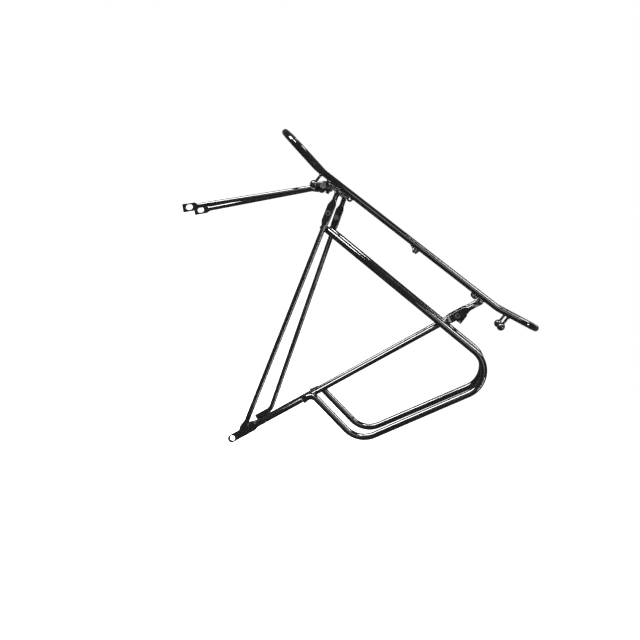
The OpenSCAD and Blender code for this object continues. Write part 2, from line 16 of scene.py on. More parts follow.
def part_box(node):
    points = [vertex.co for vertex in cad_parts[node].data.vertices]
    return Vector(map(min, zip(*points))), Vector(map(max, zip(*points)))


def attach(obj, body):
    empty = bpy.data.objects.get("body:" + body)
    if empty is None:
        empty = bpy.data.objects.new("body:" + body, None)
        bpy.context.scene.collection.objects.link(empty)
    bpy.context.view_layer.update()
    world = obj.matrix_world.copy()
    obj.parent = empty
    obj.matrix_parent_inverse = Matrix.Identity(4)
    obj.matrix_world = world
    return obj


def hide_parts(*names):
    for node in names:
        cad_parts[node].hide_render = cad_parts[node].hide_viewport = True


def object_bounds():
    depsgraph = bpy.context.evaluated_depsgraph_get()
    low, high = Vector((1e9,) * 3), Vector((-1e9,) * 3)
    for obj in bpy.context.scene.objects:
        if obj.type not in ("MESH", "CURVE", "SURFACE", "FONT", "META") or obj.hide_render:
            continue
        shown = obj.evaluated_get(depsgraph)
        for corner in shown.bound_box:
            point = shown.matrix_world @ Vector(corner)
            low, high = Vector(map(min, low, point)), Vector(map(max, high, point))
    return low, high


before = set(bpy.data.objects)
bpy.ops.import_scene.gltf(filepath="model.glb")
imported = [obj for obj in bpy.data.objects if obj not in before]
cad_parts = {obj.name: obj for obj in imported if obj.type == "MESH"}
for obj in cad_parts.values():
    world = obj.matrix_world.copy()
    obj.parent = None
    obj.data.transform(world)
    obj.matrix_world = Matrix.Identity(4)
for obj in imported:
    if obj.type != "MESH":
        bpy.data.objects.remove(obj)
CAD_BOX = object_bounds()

LOG = logging.getLogger("carrier")
MM = 0.001
RACK = "rack_frame"
UP = Vector((0, 0, 1))
ACROSS = Vector((0, 1, 0))
REAR = Vector((1, 0, 0))
# Millimetres: the gap that a weld fills, the chamfer round a drilled hole and an M5 thread's pitch.
WELD_GAP = 0.05
DRILL_RIM = 0.15
THREAD_PITCH = 0.8
# Edges sharper than this stay crisp under smooth shading.
SHARP_EDGE = math.radians(34)


class Side(Enum):
    """A side of the bicycle; the value is the sign of Y there."""

    LEFT = -1
    RIGHT = 1

    @property
    def word(self) -> str:
        """The side's name as the nodes use it."""
        return self.name.lower()


class Slot(Enum):
    """The record's material slots."""

    PAINT = "black_paint"
    BOSS = "boss_steel"
    NYLON = "black_plastic"
    ZINC = "zinc_plated_steel"


# ---- Nodes and finishes ----


def add_node(
    tree: bpy.types.NodeTree, kind: str, inputs: dict | None = None, **settings: object
) -> bpy.types.Node:
    """Adds one node to a tree.

    Args:
        tree: the shader or geometry tree.
        kind: the node's type name.
        inputs: a socket to link, or a value to set, for each input name or number.
        settings: the node's own properties.

    Returns:
        The new node.
    """
    node = tree.nodes.new(kind)
    for name, value in settings.items():
        setattr(node, name, value)
    for key, value in (inputs or {}).items():
        socket = node.inputs[key]
        if isinstance(value, bpy.types.NodeSocket):
            tree.links.new(value, socket)
        else:
            socket.default_value = value
    return node


def linear(hex_colour: str) -> tuple[float, float, float, float]:
    """Turns an sRGB hex colour to linear RGBA.

    Args:
        hex_colour: six hex digits after a hash sign.

    Returns:
        The linear colour with alpha 1.
    """
    parts = [int(hex_colour[i : i + 2], 16) / 255 for i in (1, 3, 5)]
    straight = [c / 12.92 if c <= 0.04045 else ((c + 0.055) / 1.055) ** 2.4 for c in parts]
    return (*straight, 1.0)


@dataclass(frozen=True)
class Finish:
    """A surface of two close tones with an uneven gloss and a fine relief.

    Sizes are in millimetres and are the real pattern's, unless a comment says otherwise.
    """

    name: str
    low_tone: str
    high_tone: str
    tone_size: float
    smooth: float
    rough: float
    gloss_size: float
    relief_size: float
    relief_depth: float
    metallic: float = 0.0
    coat: float = 0.0
    coat_roughness: float = 0.03

    def noise(self, tree: bpy.types.NodeTree, size: float) -> bpy.types.NodeSocket:
        """Noise whose grains are about size millimetres across."""
        place = add_node(tree, "ShaderNodeTexCoord").outputs["Object"]
        settings = {"Vector": place, "Scale": 1 / (size * MM), "Detail": 3.0, "Roughness": 0.55}
        return add_node(tree, "ShaderNodeTexNoise", settings).outputs["Fac"]

    def material(self) -> bpy.types.Material:
        """Builds the procedural material.

        Returns:
            The material, with its patterns on Object coordinates.
        """
        material = bpy.data.materials.new(self.name)
        material.use_nodes = True
        tree = material.node_tree
        tree.nodes.clear()
        ramp = add_node(tree, "ShaderNodeValToRGB", {"Fac": self.noise(tree, self.tone_size)})
        tones = (self.low_tone, self.high_tone)
        for element, place, tone in zip(ramp.color_ramp.elements, (0.35, 0.65), tones):
            element.position = place
            element.color = linear(tone)
        gloss = add_node(tree, "ShaderNodeMapRange", {
            "Value": self.noise(tree, self.gloss_size), "From Min": 0.3, "From Max": 0.7,
            "To Min": self.smooth, "To Max": self.rough})
        relief = add_node(tree, "ShaderNodeBump", {
            "Height": self.noise(tree, self.relief_size), "Strength": 0.6,
            "Distance": self.relief_depth * MM})
        shader = add_node(tree, "ShaderNodeBsdfPrincipled", {
            "Base Color": ramp.outputs["Color"], "Roughness": gloss.outputs["Result"],
            "Normal": relief.outputs["Normal"], "Metallic": self.metallic,
            "Coat Weight": self.coat, "Coat Roughness": self.coat_roughness})
        add_node(tree, "ShaderNodeOutputMaterial", {"Surface": shader.outputs["BSDF"]})
        return material


# Powder coat baked on steel: a deep, even black with sharp highlights. The real orange peel is
# about 1.5 mm across; it is drawn at 6 mm so that it still shows at the distance of the whole carrier.
POWDER_COAT = Finish(
    "gloss_black_powder_coat", "#050506", "#0a0a0b", 40, 0.05, 0.09, 18, 6, 0.0015, coat=0.7)
# Turned steel under a thin coat: a shade lighter and duller than the tubes.
COATED_STEEL = Finish(
    "turned_boss_steel", "#2b2c2e", "#3b3c3f", 6, 0.28, 0.42, 3, 1.2, 0.02, metallic=0.6)
# Injection moulded nylon: black with a soft, slightly broken highlight.
MOULDED_NYLON = Finish(
    "moulded_black_nylon", "#060607", "#0d0d0e", 8, 0.14, 0.26, 3, 1, 0.015, coat=0.3)
# Zinc plate dulled by handling: mid grey with a faint blue and straw drift.
ZINC_PLATE = Finish(
    "dull_zinc_plate", "#6c7177", "#85837a", 5, 0.24, 0.4, 2.5, 0.8, 0.005, metallic=1.0)

FINISH_OF = {
    Slot.PAINT: POWDER_COAT,
    Slot.BOSS: COATED_STEEL,
    Slot.NYLON: MOULDED_NYLON,
    Slot.ZINC: ZINC_PLATE,
}


# ---- Routes and lofts ----


@dataclass(frozen=True)
class Station:
    """One cross section of a bar: its place, its direction and its rounded, oblong outline."""

    at: Vector
    along: Vector
    half_w: float
    half_t: float
    power: float = 2.0

    def shrunk(self, cut: float, shift: float) -> "Station":
        """The same section smaller all round by cut, and moved along by shift."""
        at = self.at + self.along * shift
        return replace(self, at=at, half_w=self.half_w - cut, half_t=self.half_t - cut)

    def on(self, side: Side) -> "Station":
        """A left side section, moved to the given side."""
        return replace(self, at=to_side(self.at, side), along=to_side(self.along, side))


def to_side(place: Vector, side: Side) -> Vector:
    """A left side point or direction, moved to the given side."""
    return Vector((place.x, -place.y * side.value, place.z))


def round_at(at: Vector, along: Vector, radius: float) -> Station:
    """A round section."""
    return Station(at, along, radius, radius)


def flat_at(at: Vector, along: Vector, width: float, thickness: float) -> Station:
    """A pressed flat's section, nearly square at its corners."""
    return Station(at, along, width / 2, thickness / 2, 7.0)


def between(a: Station, b: Station, steps: int = 9) -> list[Station]:
    """Sections that ease from a to b, both left out."""
    made = []
    for i in range(1, steps):
        t = i / steps
        s = t * t * (3 - 2 * t)
        power = 2 / ((1 - s) * 2 / a.power + s * 2 / b.power)
        half_w = a.half_w + (b.half_w - a.half_w) * s
        half_t = a.half_t + (b.half_t - a.half_t) * s
        along = a.along.lerp(b.along, t).normalized()
        made.append(Station(a.at.lerp(b.at, t), along, half_w, half_t, power))
    return made


def round_end(centre: Vector, along: Vector, width: float, thickness: float, reach: float) -> list[Station]:
    """Sections of a flat's round end, whose tip lies reach before the hole's centre."""
    steps, radius, made = 9, width / 2, []
    for i in range(steps):
        a = math.radians(90 * (i + 0.5) / (steps + 0.5))
        place = centre + along * (radius * (1 - math.cos(a)) - reach)
        made.append(flat_at(place, along, width * math.sin(a), thickness))
    return made


def rounded_route(
    corners: Sequence[Vector], radii: Sequence[float], closed: bool = False, step: float = 3.0
) -> list[tuple[Vector, Vector]]:
    """Rounds the corners of a route.

    Args:
        corners: the route's corner points.
        radii: the bend radius at each corner, and 0 at an open end.
        closed: whether the last corner joins the first.
        step: degrees of bend from one point to the next.

    Returns:
        Points along the route, each with its direction.
    """
    made, n = [], len(corners)
    for i, (corner, radius) in enumerate(zip(corners, radii)):
        if not closed and i in (0, n - 1):
            other = corners[1] if i == 0 else corners[n - 2]
            made.append((corner, (other - corner).normalized() * (1 if i == 0 else -1)))
            continue
        u = (corner - corners[i - 1]).normalized()
        v = (corners[(i + 1) % n] - corner).normalized()
        turn = u.angle(v)
        inward = (v - u * u.dot(v)).normalized()
        start = corner - u * radius * math.tan(turn / 2)
        count = max(2, round(math.degrees(turn) / step))
        for k in range(count + 1):
            a = turn * k / count
            place = start + u * radius * math.sin(a) + inward * radius * (1 - math.cos(a))
            made.append((place, u * math.cos(a) + inward * math.sin(a)))
    return made


def outline(station: Station, broad: Vector, sides: int) -> list[Vector]:
    """Points round a station's section; broad is the direction of its thickness."""
    wide = broad.cross(station.along).normalized()
    thick = station.along.cross(wide)
    made = []
    for i in range(sides):
        a = 2 * math.pi * i / sides
        c, s = math.cos(a), math.sin(a)
        made.append(station.at + wide * math.copysign(abs(c) ** (2 / station.power), c) * station.half_w
                    + thick * math.copysign(abs(s) ** (2 / station.power), s) * station.half_t)
    return made


def mesh_object(name: str, build: bmesh.types.BMesh) -> bpy.types.Object:
    """Turns a bmesh in millimetres to an object in metres, with faces out and sharp edges marked."""
    bmesh.ops.remove_doubles(build, verts=build.verts, dist=1e-4)
    bmesh.ops.recalc_face_normals(build, faces=build.faces)
    bmesh.ops.scale(build, vec=(MM, MM, MM), verts=build.verts)
    mesh = bpy.data.meshes.new(name)
    build.to_mesh(mesh)
    build.free()
    mesh.shade_smooth()
    mesh.set_sharp_from_angle(angle=SHARP_EDGE)
    piece = bpy.data.objects.new(name, mesh)
    bpy.context.scene.collection.objects.link(piece)
    return piece


def loft(
    name: str, stations: Sequence[Station], broad: Vector, sides: int = 48, edge: float = 0.35
) -> bpy.types.Object:
    """Skins stations into one closed bar with softened ends.

    Args:
        name: the object's name.
        stations: the sections in order.
        broad: the direction of the bar's thickness.
        sides: points round each section.
        edge: how much each end edge is rounded off.

    Returns:
        The new object.
    """
    first, last = stations[0], stations[-1]
    mid = edge * 0.3
    full = [first.shrunk(edge, 0), first.shrunk(mid, mid), first.shrunk(0, edge), *stations[1:-1],
            last.shrunk(0, -edge), last.shrunk(mid, -mid), last.shrunk(edge, 0)]
    build = bmesh.new()
    rings = [[build.verts.new(p) for p in outline(s, broad, sides)] for s in full]
    for a, b in zip(rings, rings[1:]):
        for i in range(sides):
            j = (i + 1) % sides
            build.faces.new((a[i], a[j], b[j], b[i]))
    build.faces.new(rings[0])
    build.faces.new(rings[-1])
    return mesh_object(name, build)


def lathe(
    name: str, profile: Sequence[tuple[float, float]], centre: Vector, axis: Vector, sides: int = 48
) -> bpy.types.Object:
    """Turns a closed profile of radius and height about an axis through centre.

    Args:
        name: the object's name.
        profile: radius and height of each corner, in order round the section.
        centre: the point where height is 0.
        axis: the direction of height.
        sides: steps round the axis.

    Returns:
        The new object; points on the axis are merged.
    """
    turn = axis.to_track_quat("Z", "Y")
    build = bmesh.new()
    rings = []
    for i in range(sides):
        a = 2 * math.pi * i / sides
        rings.append([build.verts.new(centre + turn @ Vector((r * math.cos(a), r * math.sin(a), h)))
                      for r, h in profile])
    for a, b in zip(rings, rings[1:] + rings[:1]):
        for k in range(len(profile)):
            m = (k + 1) % len(profile)
            if profile[k][0] or profile[m][0]:
                build.faces.new((a[k], b[k], b[m], a[m]))
    bmesh.ops.dissolve_degenerate(build, dist=1e-5, edges=build.edges)
    return mesh_object(name, build)


def drill(
    piece: bpy.types.Object, centre: Vector, radius: float, thickness: float, reach: Vector | None = None
) -> None:
    """Cuts a hole along Y with chamfered rims, or a slot when reach is given.

    Args:
        piece: the object to cut.
        centre: the middle of the hole, in millimetres.
        radius: the hole's radius.
        thickness: the flat's thickness where the hole goes through.
        reach: half the slot's run from one round end's centre to the other's.
    """
    past = 4.0
    inner, outer = thickness / 2 - DRILL_RIM, thickness / 2 + past
    wide = radius + DRILL_RIM + past
    profile = [(0, -outer), (wide, -outer), (radius, -inner), (radius, inner), (wide, outer), (0, outer)]
    cutter = lathe("cutter", profile, centre, ACROSS, 64)
    if reach is not None:
        for vertex in cutter.data.vertices:
            side = (vertex.co - centre * MM).dot(reach)
            vertex.co += reach * MM * (1 if side > 1e-9 else -1)
    cut = piece.modifiers.new("drill", "BOOLEAN")
    cut.operation, cut.solver, cut.object = "DIFFERENCE", "EXACT", cutter
    settle(piece)
    bpy.data.objects.remove(cutter)


def settle(piece: bpy.types.Object) -> None:
    """Turns a piece's evaluated shape to its own plain mesh and drops its modifiers."""
    bpy.context.view_layer.update()
    graph = bpy.context.evaluated_depsgraph_get()
    shaped = piece.evaluated_get(graph)
    mesh = bpy.data.meshes.new_from_object(shaped, preserve_all_data_layers=True, depsgraph=graph)
    piece.modifiers.clear()
    piece.data = mesh
    mesh.set_sharp_from_angle(angle=SHARP_EDGE)


# ---- Geometry Nodes ----


class NodeShape:
    """A Geometry Nodes tree with named inputs, made once and applied to paths."""

    def __init__(self, name: str, sizes: dict[str, float]) -> None:
        """Starts the tree.

        Args:
            name: the tree's name.
            sizes: each named size and its default, in metres.
        """
        self.tree = bpy.data.node_groups.new(name, "GeometryNodeTree")
        face = self.tree.interface
        face.new_socket("Path", in_out="INPUT", socket_type="NodeSocketGeometry")
        self.keys: dict[str, str] = {}
        for size, default in sizes.items():
            socket = face.new_socket(size, in_out="INPUT", socket_type="NodeSocketFloat")
            socket.default_value = default
            self.keys[size] = socket.identifier
        finish = face.new_socket("Finish", in_out="INPUT", socket_type="NodeSocketMaterial")
        self.keys["Finish"] = finish.identifier
        face.new_socket("Shape", in_out="OUTPUT", socket_type="NodeSocketGeometry")
        self.inlet = add_node(self.tree, "NodeGroupInput").outputs
        path = {"Mesh": self.inlet["Path"]}
        self.curve = add_node(self.tree, "GeometryNodeMeshToCurve", path).outputs[0]

    def close(self, shape: bpy.types.NodeSocket) -> None:
        """Ends the tree in Realize Instances, smooth shading and Set Material."""
        real = add_node(self.tree, "GeometryNodeRealizeInstances", {"Geometry": shape}).outputs[0]
        smooth = add_node(self.tree, "GeometryNodeSetShadeSmooth", {"Geometry": real}).outputs[0]
        dressed = add_node(self.tree, "GeometryNodeSetMaterial", {
            "Geometry": smooth, "Material": self.inlet["Finish"]}).outputs[0]
        add_node(self.tree, "NodeGroupOutput", {0: dressed})

    def along(self, name: str, paths: Sequence[Sequence[Vector]], closed: bool, sizes: dict[str, float],
              finish: bpy.types.Material) -> bpy.types.Object:
        """Runs the tree along paths given in millimetres.

        Args:
            name: the object's name.
            paths: the points of each path.
            closed: whether each path closes on itself.
            sizes: the named inputs to set, in metres.
            finish: the material.

        Returns:
            The finished plain mesh object.
        """
        build = bmesh.new()
        for path in paths:
            verts = [build.verts.new(p * MM) for p in path]
            for a, b in zip(verts, verts[1:] + (verts[:1] if closed else [])):
                build.edges.new((a, b))
        mesh = bpy.data.meshes.new(name)
        build.to_mesh(mesh)
        build.free()
        piece = bpy.data.objects.new(name, mesh)
        modifier = piece.modifiers.new("shape", "NODES")
        modifier.node_group = self.tree
        for size, value in {**sizes, "Finish": finish}.items():
            modifier[self.keys[size]] = value
        bpy.context.scene.collection.objects.link(piece)
        settle(piece)
        return piece


def tube_shape() -> NodeShape:
    """A round tube swept along each path."""
    shape = NodeShape("swept_tube", {"Radius": 5 * MM, "Sides": 48})
    ring = add_node(shape.tree, "GeometryNodeCurvePrimitiveCircle", {
        "Radius": shape.inlet["Radius"], "Resolution": shape.inlet["Sides"]}).outputs["Curve"]
    swept = add_node(shape.tree, "GeometryNodeCurveToMesh", {
        "Curve": shape.curve, "Profile Curve": ring, "Fill Caps": True}).outputs[0]
    shape.close(swept)
    return shape


def bead_shape() -> NodeShape:
    """Overlapping weld ripples laid along each path."""
    shape = NodeShape("weld_bead", {"Spacing": 1.0 * MM, "Bead": 1.1 * MM})
    points = add_node(shape.tree, "GeometryNodeResampleCurve", {
        "Curve": shape.curve, "Length": shape.inlet["Spacing"]}, mode="LENGTH").outputs[0]
    ripple = add_node(shape.tree, "GeometryNodeMeshIcoSphere", {
        "Radius": shape.inlet["Bead"], "Subdivisions": 2}).outputs[0]
    uneven = add_node(shape.tree, "FunctionNodeRandomValue", {2: 0.82, 3: 1.18, "Seed": 7}).outputs[1]
    laid = add_node(shape.tree, "GeometryNodeInstanceOnPoints", {
        "Points": points, "Instance": ripple, "Scale": uneven}).outputs[0]
    shape.close(laid)
    return shape


def thread_shape() -> NodeShape:
    """Thread ridges: rings set square to each straight path, one to a pitch."""
    shape = NodeShape("thread_ridges", {"Pitch": THREAD_PITCH * MM, "Radius": 2 * MM, "Ridge": 0.2 * MM})
    points = add_node(shape.tree, "GeometryNodeCurveToPoints", {
        "Curve": shape.curve, "Length": shape.inlet["Pitch"]}, mode="LENGTH")
    ring = add_node(shape.tree, "GeometryNodeCurvePrimitiveCircle", {
        "Radius": shape.inlet["Radius"], "Resolution": 40}).outputs["Curve"]
    wire = add_node(shape.tree, "GeometryNodeCurvePrimitiveCircle", {
        "Radius": shape.inlet["Ridge"], "Resolution": 6}).outputs["Curve"]
    ridge = add_node(shape.tree, "GeometryNodeCurveToMesh", {
        "Curve": ring, "Profile Curve": wire}).outputs[0]
    laid = add_node(shape.tree, "GeometryNodeInstanceOnPoints", {
        "Points": points.outputs["Points"], "Instance": ridge,
        "Rotation": points.outputs["Rotation"]}).outputs[0]
    shape.close(laid)
    return shape


# ---- Shared workshop ----


class Workshop:
    """Holds the materials and the node shapes, and hands finished pieces to the frame."""

    def __init__(self) -> None:
        """Makes one material for each slot and the three node shapes."""
        self.paint = {slot: finish.material() for slot, finish in FINISH_OF.items()}
        self.tube = tube_shape()
        self.bead = bead_shape()
        self.thread = thread_shape()

    def hand_over(self, piece: bpy.types.Object, slot: Slot, body: str, *nodes: str) -> bpy.types.Object:
        """Dresses a piece, ties it to its body and lets it stand for nodes, or for none as a detail."""
        if not piece.data.materials:
            piece.data.materials.append(self.paint[slot])
        for i in range(len(piece.data.materials)):
            piece.data.materials[i] = self.paint[slot]
        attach(piece, body)
        if nodes:
            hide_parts(*nodes)
        LOG.info("%s: %d faces on %s", piece.name, len(piece.data.polygons), body)
        return piece

    def bar(
        self, name: str, path: Sequence[Vector], radius: float, sides: int, node: str, closed: bool = False
    ) -> None:
        """Sweeps a painted round bar along a path in millimetres, in place of a node."""
        sizes = {"Radius": radius * MM, "Sides": sides}
        piece = self.tube.along(name, [path], closed, sizes, self.paint[Slot.PAINT])
        self.hand_over(piece, Slot.PAINT, RACK, node)

    def ridges(self, name: str, path: Sequence[Vector], radius: float, ridge: float, slot: Slot) -> None:
        """Sets thread ridges along a straight path in millimetres."""
        sizes = {"Pitch": THREAD_PITCH * MM, "Radius": radius * MM, "Ridge": ridge * MM}
        piece = self.thread.along(name, [path], False, sizes, self.paint[slot])
        self.hand_over(piece, slot, RACK)

    def softened(self, node: str, slot: Slot, edge: float = 0.3) -> bpy.types.Object:
        """Stands in for a sheet or turned node with the same shape and eased edges.

        Args:
            node: the node to copy.
            slot: its material slot.
            edge: the width of the eased edges in millimetres.

        Returns:
            The new object.
        """
        build = bmesh.new()
        build.from_mesh(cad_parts[node].data)
        bmesh.ops.remove_doubles(build, verts=build.verts, dist=1e-6)
        bmesh.ops.scale(build, vec=(1 / MM, 1 / MM, 1 / MM), verts=build.verts)
        flat = math.radians(1)
        bmesh.ops.dissolve_limit(build, angle_limit=flat, verts=build.verts, edges=build.edges)
        piece = mesh_object(node + "_eased", build)
        ease = piece.modifiers.new("ease", "BEVEL")
        ease.width = edge * MM
        ease.segments = 2
        ease.limit_method = "ANGLE"
        ease.angle_limit = math.radians(40)
        ease.harden_normals = True
        settle(piece)
        return self.hand_over(piece, slot, RACK, node)


def box_of(node: str) -> tuple[Vector, Vector]:
    """A node's lowest and highest corners in millimetres."""
    low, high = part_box(node)
    return Vector(low) / MM, Vector(high) / MM


def middle_of(node: str) -> Vector:
    """The centre of a node's box in millimetres."""
    low, high = box_of(node)
    return (low + high) / 2


def leaning(degrees: float) -> Vector:
    """The direction in the side plane that leans rearwards from vertical by an angle."""
    a = math.radians(degrees)
    return Vector((math.sin(a), 0, math.cos(a)))


# ---- Sub-assemblies ----


@dataclass
class Platform:
    """The closed tube loop, the two deck rods and the three rods across, in millimetres."""

    tube_r: float = 5.0
    rod_r: float = 3.75
    upturn: float = 9.9
    rear_end: float = 63.0
    corner_r: float = 30.0
    upturn_r: float = 60.0
    low: Vector = field(default_factory=lambda: box_of("platform_loop")[0])
    high: Vector = field(default_factory=lambda: box_of("platform_loop")[1])

    @property
    def height(self) -> float:
        """Height of the rails' centre lines."""
        return box_of("front_bridge")[1].z + WELD_GAP + self.tube_r

    @property
    def half(self) -> float:
        """Half the distance between the rails."""
        return self.high.y - self.tube_r

    def corners(self, y: float, drop: float) -> list[Vector]:
        """The side route at a given Y, lowered by drop: front end, two upward bends and rear end."""
        front, rear = self.low.x + self.tube_r, self.high.x - self.tube_r
        slope = math.tan(math.radians(self.upturn))
        front_bend = front + (self.high.z - self.tube_r - self.height) / slope
        rear_bend = rear - self.rear_end
        return [Vector((front, y, self.high.z - self.tube_r - drop)),
                Vector((front_bend, y, self.height - drop)),
                Vector((rear_bend, y, self.height - drop)),
                Vector((rear, y, self.height + (rear - rear_bend) * slope - drop))]

    def under(self, x: float) -> float:
        """Height of a rail's underside at x on the straight run or the rear upturn."""
        rise = max(0.0, x - self.corners(0, 0)[2].x) * math.tan(math.radians(self.upturn))
        return self.height + rise - self.tube_r

    def build(self, shop: Workshop) -> None:
        """Makes the loop, the deck rods and the cross rods."""
        left = self.corners(-self.half, 0)
        right = [to_side(p, Side.RIGHT) for p in reversed(left)]
        bends = [self.corner_r, self.upturn_r, self.upturn_r, self.corner_r]
        loop = [p for p, _ in rounded_route(left + right, bends * 2, closed=True)]
        shop.bar("platform_tube", loop, self.tube_r, 56, "platform_loop", closed=True)
        for side in Side:
            self.deck_rod(shop, side)
        for node in ("front_bridge", "rear_bridge", "stay_cross_rod"):
            low, high = box_of(node)
            mid = (low + high) / 2
            ends = [round_at(Vector((mid.x, y, mid.z)), ACROSS, self.rod_r) for y in (low.y, 0.0, high.y)]
            shop.hand_over(loft(node + "_rod", ends, UP), Slot.PAINT, RACK, node)

    def deck_rod(self, shop: Workshop, side: Side) -> None:
        """Makes one deck rod, from cross tube to cross tube."""
        node = side.word + "_deck_rod"
        centre = middle_of(node)
        drop = self.height - (box_of("front_bridge")[1].z + WELD_GAP + self.rod_r)
        route = self.corners(centre.y, drop)
        path = [p for p, _ in rounded_route(route, [0, self.upturn_r, self.upturn_r, 0])]
        shop.bar(node + "_bar", path, self.rod_r, 40, node)


@dataclass
class SideFrame:
    """One side's rear strut, front strut, low rail and threaded bosses, in millimetres."""

    side: Side
    rod_r: float = 3.75
    tube_r: float = 5.0
    flat_w: float = 12.0
    flat_t: float = 4.0
    press_l: float = 10.0
    boss_flat_l: float = 23.0
    boss_shift: float = 1.6
    boss_seat_r: float = 4.05
    boss_bore_r: float = 2.1
    boss_floor: float = 1.0
    boss_rim: float = 0.4
    thread_r: float = 2.08
    thread_ridge: float = 0.22
    eye_half: float = 66.0
    eye_r: float = 3.75
    eye_end: float = 7.0
    eye_tab_l: dict[Side, float] = field(default_factory=lambda: {Side.LEFT: 34.0, Side.RIGHT: 14.0})
    foot_x: float = 6.1
    foot_z: float = 18.0
    foot_l: float = 8.0
    tail_start: float = 24.6
    tail_bend: float = 51.3
    tail_bend_r: float = 15.0
    rail_front_z: float = 329.0
    rail_fall: float = 1.43
    loop_rear_x: float = 261.0
    loop_low_x: float = 149.1
    loop_low_z: float = 112.4
    leg_fall: float = 7.8
    loop_r: float = 37.0
    tail_r: float = 12.0
    tail_press: float = 5.0
    tail_l: float = 17.0
    tail_t: float = 6.0

    @property
    def strut_top(self) -> float:
        """Height where the struts end under the bridges."""
        return box_of("front_bridge")[0].z - WELD_GAP

    @property
    def rear_lean(self) -> float:
        """Lean of the rear strut, in degrees."""
        bridge = middle_of("rear_bridge")
        return math.degrees(math.atan2(bridge.x, bridge.z))

    @property
    def slope(self) -> float:
        """How much a rear strut comes inwards for each millimetre of height."""
        up = leaning(self.rear_lean)
        bottom = (self.eye_tab_l[Side.LEFT] + self.press_l) * up.z
        top = self.flat_centre("rear", self.rear_lean, 1).z - (self.boss_flat_l / 2 + self.press_l) * up.z
        return (self.eye_half - abs(middle_of("left_rear_boss").y)) / (top - bottom)

    def strut_half(self, z: float) -> float:
        """Distance of the rear strut's centre line from the middle at a height."""
        bottom = (self.eye_tab_l[Side.LEFT] + self.press_l) * leaning(self.rear_lean).z
        return self.eye_half - (z - bottom) * self.slope

    def flat_centre(self, end: str, lean: float, way: int) -> Vector:
        """Centre line point at the boss flat of a left strut; way is the side the boss is shifted to."""
        boss = middle_of(f"{self.side.word}_{end}_boss")
        a = math.radians(lean)
        back = Vector((math.cos(a), 0, -math.sin(a))) * self.boss_shift * way
        return Vector((boss.x, -abs(boss.y), boss.z)) - back

    def top_stations(self, centre: Vector, lean: float, way: int, below: Vector) -> list[Station]:
        """Sections of a strut's upper end: press, boss flat, press and round neck."""
        up = leaning(lean)
        half = self.boss_flat_l / 2
        mid = centre + REAR * (way * self.boss_shift / 2)
        low_round = round_at(centre - up * (half + self.press_l), below, self.rod_r)
        along_flat = (-half, -half / 3, half / 3, half)
        flats = [self.pressed(mid + up * s, up) for s in along_flat]
        neck = round_at(centre + up * (half + self.press_l), up, self.rod_r)
        top = round_at(centre + up * ((self.strut_top - centre.z) / up.z), up, self.rod_r)
        return [low_round, *between(low_round, flats[0]), *flats, *between(flats[-1], neck), neck, top]

    def pressed(self, at: Vector, along: Vector) -> Station:
        """A strut flat's section."""
        return flat_at(at, along, self.flat_w, self.flat_t)

    def placed(self, stations: Sequence[Station]) -> list[Station]:
        """Left side stations moved to this side."""
        return [s.on(self.side) for s in stations]

    def build(self, shop: Workshop) -> None:
        """Makes this side's struts, low rail and bosses."""
        self.rear_strut(shop)
        self.front_strut(shop)
        self.low_rail(shop)
        for end in ("front", "rear"):
            self.boss(shop, f"{self.side.word}_{end}_boss")

    def rear_strut(self, shop: Workshop) -> None:
        """Makes the rear strut from its dropout eye to the rear bridge."""
        lean, tab = self.rear_lean, self.eye_tab_l[self.side]
        up = leaning(lean)
        eye = Vector((0, -self.eye_half, 0))
        centre = self.flat_centre("rear", lean, 1)
        start = eye + up * (tab + self.press_l)
        along = (centre - up * (self.boss_flat_l / 2 + self.press_l) - start).normalized()
        stations = round_end(eye, up, self.flat_w, self.flat_t, self.eye_end)
        tab_end = self.pressed(eye + up * tab, up)
        neck = round_at(start, along, self.rod_r)
        stations += [self.pressed(eye, up), tab_end, *between(tab_end, neck), neck]
        stations += self.top_stations(centre, lean, 1, along)
        name = self.side.word + "_rear_strut"
        piece = loft(name + "_bar", self.placed(stations), ACROSS)
        drill(piece, to_side(eye, self.side), self.eye_r, self.flat_t)
        drill(piece, middle_of(self.side.word + "_rear_boss"), self.boss_seat_r, self.flat_t)
        shop.hand_over(piece, Slot.PAINT, RACK, name)

    def front_lean(self) -> float:
        """Forward lean of this side's front strut, in degrees and negative."""
        ahead_of = -middle_of("front_bridge").x
        if self.side is Side.LEFT:
            return -math.degrees(math.atan((self.foot_x + ahead_of) / (self.strut_top - self.foot_z)))
        corner = self.tail_point(self.tail_bend)
        return -math.degrees(math.atan((corner.x + ahead_of) / (self.strut_top - corner.z)))

    def tail_point(self, along: float) -> Vector:
        """A point of the right front strut's tail, given by its distance up the rear strut."""
        a = math.radians(self.rear_lean)
        ahead = Vector((-math.cos(a), 0, math.sin(a))) * (2 * self.rod_r + 2 * WELD_GAP)
        return leaning(self.rear_lean) * along + ahead + Vector((0, -self.eye_half, 0))

